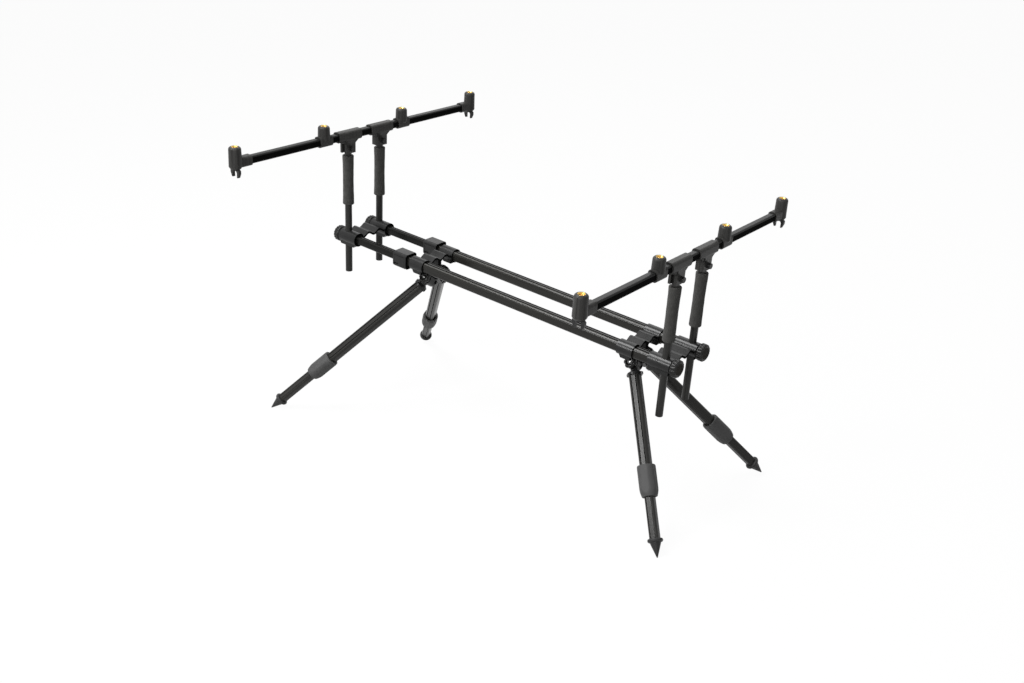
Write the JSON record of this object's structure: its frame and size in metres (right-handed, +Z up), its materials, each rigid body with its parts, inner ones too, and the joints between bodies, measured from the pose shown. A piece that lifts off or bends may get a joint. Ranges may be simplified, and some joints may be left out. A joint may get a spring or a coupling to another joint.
{
  "type": "rod pod",
  "caption": "Folding rod pod with telescopic twin rails, splayed telescopic legs on sliding brackets, and a height-adjustable threaded buzz bar at each end.",
  "frame": {"origin": "on the floor, under the middle of the bounding box", "axes": "+X along the pod to its front (lower) end, +Y across the pod, +Z up"},
  "size_m": [0.804, 0.5608, 0.5042],
  "materials": {
    "black_alloy": "black anodised, satin",
    "black_plastic": "moulded, satin black",
    "blackened_steel": "blackened",
    "foam": "closed-cell foam, dark grey",
    "brass": "turned brass"
  },
  "bodies": {
    "rail_frame": {"outer_rails": "black_alloy", "front_bracket": "black_plastic", "rail_clamps": "black_plastic"},
    "rear_end": {"inner_rails": "black_alloy", "rear_bracket": "black_plastic"},
    "near_lever": {"near_cam_lever": "black_plastic"},
    "far_lever": {"far_cam_lever": "black_plastic"},
    "rear_leg_mount": {"rear_leg_bracket": "black_plastic"},
    "front_leg_mount": {"front_leg_bracket": "black_plastic"},
    "rear_near_leg": {"rear_near_knuckle": "black_plastic", "rear_near_upper_leg": "black_alloy"},
    "rear_near_twist_collar": {"rear_near_collar": "black_plastic"},
    "rear_near_foot": {"rear_near_lower_leg": "black_alloy", "rear_near_spike": "black_plastic"},
    "rear_near_hinge_knob": {"rear_near_leg_knob": "black_plastic"},
    "rear_near_post_knob": {"rear_near_end_knob": "black_plastic"},
    "rear_far_leg": {"rear_far_knuckle": "black_plastic", "rear_far_upper_leg": "black_alloy"},
    "rear_far_twist_collar": {"rear_far_collar": "black_plastic"},
    "rear_far_foot": {"rear_far_lower_leg": "black_alloy", "rear_far_spike": "black_plastic"},
    "rear_far_hinge_knob": {"rear_far_leg_knob": "black_plastic"},
    "rear_far_post_knob": {"rear_far_end_knob": "black_plastic"},
    "front_near_leg": {"front_near_knuckle": "black_plastic", "front_near_upper_leg": "black_alloy"},
    "front_near_twist_collar": {"front_near_collar": "black_plastic"},
    "front_near_foot": {"front_near_lower_leg": "black_alloy", "front_near_spike": "black_plastic"},
    "front_near_hinge_knob": {"front_near_leg_knob": "black_plastic"},
    "front_near_post_knob": {"front_near_end_knob": "black_plastic"},
    "front_far_leg": {"front_far_knuckle": "black_plastic", "front_far_upper_leg": "black_alloy"},
    "front_far_twist_collar": {"front_far_collar": "black_plastic"},
    "front_far_foot": {"front_far_lower_leg": "black_alloy", "front_far_spike": "black_plastic"},
    "front_far_hinge_knob": {"front_far_leg_knob": "black_plastic"},
    "front_far_post_knob": {"front_far_end_knob": "black_plastic"},
    "rear_goalpost": {"rear_bar": "black_alloy", "rear_posts": "black_alloy", "rear_grips": "foam", "rear_tees": "black_plastic", "rear_screws": "blackened_steel", "rear_end_heads": "black_plastic", "rear_end_inserts": "brass"},
    "rear_near_rod_head": {"rear_near_head": "black_plastic", "rear_near_insert": "brass"},
    "rear_far_rod_head": {"rear_far_head": "black_plastic", "rear_far_insert": "brass"},
    "front_goalpost": {"front_bar": "black_alloy", "front_posts": "black_alloy", "front_grips": "foam", "front_tees": "black_plastic", "front_screws": "blackened_steel", "front_end_heads": "black_plastic", "front_end_inserts": "brass"},
    "front_near_rod_head": {"front_near_head": "black_plastic", "front_near_insert": "brass"},
    "front_far_rod_head": {"front_far_head": "black_plastic", "front_far_insert": "brass"}
  },
  "joints": [
    {"name": "rail_extension", "type": "slide", "parent": "rail_frame", "child": "rear_end", "axis": [-0.9973, 0, 0.0731], "range_m": [-0.094, 0.14]},
    {"name": "near_lever_flip", "type": "hinge", "parent": "rail_frame", "child": "near_lever", "pos_m": [-0.21286, -0.0471, 0.27431], "axis": [0.9973, 0, -0.0731], "range_deg": [0, 110]},
    {"name": "far_lever_flip", "type": "hinge", "parent": "rail_frame", "child": "far_lever", "pos_m": [-0.21286, 0.0269, 0.27431], "axis": [0.9973, 0, -0.0731], "range_deg": [0, 110]},
    {"name": "rear_leg_mount_slide", "type": "slide", "parent": "rail_frame", "child": "rear_leg_mount", "axis": [0.9973, 0, -0.0731], "range_m": [-0.004, 0.19]},
    {"name": "front_leg_mount_slide", "type": "slide", "parent": "rail_frame", "child": "front_leg_mount", "axis": [-0.9973, 0, 0.0731], "range_m": [-0.012, 0.19]},
    {"name": "rear_near_leg_fold", "type": "hinge", "parent": "rear_leg_mount", "child": "rear_near_leg", "pos_m": [-0.17863, -0.0155, 0.24883], "axis": [-0.0414, 0.8241, -0.5649], "range_deg": [-62.5, 37.5]},
    {"name": "rear_near_collar_twist", "type": "hinge", "parent": "rear_near_leg", "child": "rear_near_twist_collar", "pos_m": [-0.32765, -0.13684, 0.08274], "axis": [-0.5867, -0.4777, -0.6539], "range_deg": [0, 90]},
    {"name": "rear_near_leg_extension", "type": "slide", "parent": "rear_near_leg", "child": "rear_near_foot", "axis": [-0.5867, -0.4777, -0.6539], "range_m": [-0.068, 0.065]},
    {"name": "rear_near_hinge_knob_turn", "type": "hinge", "parent": "rear_leg_mount", "child": "rear_near_hinge_knob", "pos_m": [-0.17863, -0.0155, 0.24883], "axis": [0.0414, -0.8241, 0.5649], "continuous": true},
    {"name": "rear_near_post_knob_turn", "type": "hinge", "parent": "rear_end", "child": "rear_near_post_knob", "pos_m": [-0.3687, -0.037, 0.29586], "axis": [-0.9973, 0, 0.0731], "continuous": true},
    {"name": "rear_far_leg_fold", "type": "hinge", "parent": "rear_leg_mount", "child": "rear_far_leg", "pos_m": [-0.17863, 0.0155, 0.24883], "axis": [0.0414, 0.8241, 0.5649], "range_deg": [-62.5, 37.5]},
    {"name": "rear_far_collar_twist", "type": "hinge", "parent": "rear_far_leg", "child": "rear_far_twist_collar", "pos_m": [-0.32765, 0.13684, 0.08274], "axis": [-0.5867, 0.4777, -0.6539], "range_deg": [0, 90]},
    {"name": "rear_far_leg_extension", "type": "slide", "parent": "rear_far_leg", "child": "rear_far_foot", "axis": [-0.5867, 0.4777, -0.6539], "range_m": [-0.068, 0.065]},
    {"name": "rear_far_hinge_knob_turn", "type": "hinge", "parent": "rear_leg_mount", "child": "rear_far_hinge_knob", "pos_m": [-0.17863, 0.0155, 0.24883], "axis": [0.0414, 0.8241, 0.5649], "continuous": true},
    {"name": "rear_far_post_knob_turn", "type": "hinge", "parent": "rear_end", "child": "rear_far_post_knob", "pos_m": [-0.3687, 0.037, 0.29586], "axis": [-0.9973, 0, 0.0731], "continuous": true},
    {"name": "front_near_leg_fold", "type": "hinge", "parent": "front_leg_mount", "child": "front_near_leg", "pos_m": [0.25192, -0.0155, 0.21727], "axis": [0.0414, -0.8241, 0.5649], "range_deg": [-63.5, 7.5]},
    {"name": "front_near_collar_twist", "type": "hinge", "parent": "front_near_leg", "child": "front_near_twist_collar", "pos_m": [0.34446, -0.10288, 0.08301], "axis": [0.5002, -0.4723, -0.7257], "range_deg": [0, 90]},
    {"name": "front_near_leg_extension", "type": "slide", "parent": "front_near_leg", "child": "front_near_foot", "axis": [0.5002, -0.4723, -0.7257], "range_m": [-0.056, 0.077]},
    {"name": "front_near_hinge_knob_turn", "type": "hinge", "parent": "front_leg_mount", "child": "front_near_hinge_knob", "pos_m": [0.25192, -0.0155, 0.21727], "axis": [0.0414, -0.8241, 0.5649], "continuous": true},
    {"name": "front_near_post_knob_turn", "type": "hinge", "parent": "rail_frame", "child": "front_near_post_knob", "pos_m": [0.34259, -0.037, 0.24371], "axis": [0.9973, 0, -0.0731], "continuous": true},
    {"name": "front_far_leg_fold", "type": "hinge", "parent": "front_leg_mount", "child": "front_far_leg", "pos_m": [0.25192, 0.0155, 0.21727], "axis": [-0.0414, -0.8241, -0.5649], "range_deg": [-63.5, 7.5]},
    {"name": "front_far_collar_twist", "type": "hinge", "parent": "front_far_leg", "child": "front_far_twist_collar", "pos_m": [0.34446, 0.10288, 0.08301], "axis": [0.5002, 0.4723, -0.7257], "range_deg": [0, 90]},
    {"name": "front_far_leg_extension", "type": "slide", "parent": "front_far_leg", "child": "front_far_foot", "axis": [0.5002, 0.4723, -0.7257], "range_m": [-0.056, 0.077]},
    {"name": "front_far_hinge_knob_turn", "type": "hinge", "parent": "front_leg_mount", "child": "front_far_hinge_knob", "pos_m": [0.25192, 0.0155, 0.21727], "axis": [0.0414, 0.8241, 0.5649], "continuous": true},
    {"name": "front_far_post_knob_turn", "type": "hinge", "parent": "rail_frame", "child": "front_far_post_knob", "pos_m": [0.34259, 0.037, 0.24371], "axis": [0.9973, 0, -0.0731], "continuous": true},
    {"name": "rear_goalpost_height", "type": "slide", "parent": "rear_end", "child": "rear_goalpost", "axis": [0.0731, 0, 0.9973], "range_m": [-0.038, 0.05]},
    {"name": "rear_near_rod_head_slide", "type": "slide", "parent": "rear_goalpost", "child": "rear_near_rod_head", "axis": [0, -1, 0], "range_m": [-0.014, 0.138]},
    {"name": "rear_far_rod_head_slide", "type": "slide", "parent": "rear_goalpost", "child": "rear_far_rod_head", "axis": [0, 1, 0], "range_m": [-0.014, 0.138]},
    {"name": "front_goalpost_height", "type": "slide", "parent": "rail_frame", "child": "front_goalpost", "axis": [0.0731, 0, 0.9973], "range_m": [-0.02, 0.07]},
    {"name": "front_near_rod_head_slide", "type": "slide", "parent": "front_goalpost", "child": "front_near_rod_head", "axis": [0, -1, 0], "range_m": [-0.014, 0.138]},
    {"name": "front_far_rod_head_slide", "type": "slide", "parent": "front_goalpost", "child": "front_far_rod_head", "axis": [0, 1, 0], "range_m": [-0.014, 0.138]}
  ]
}
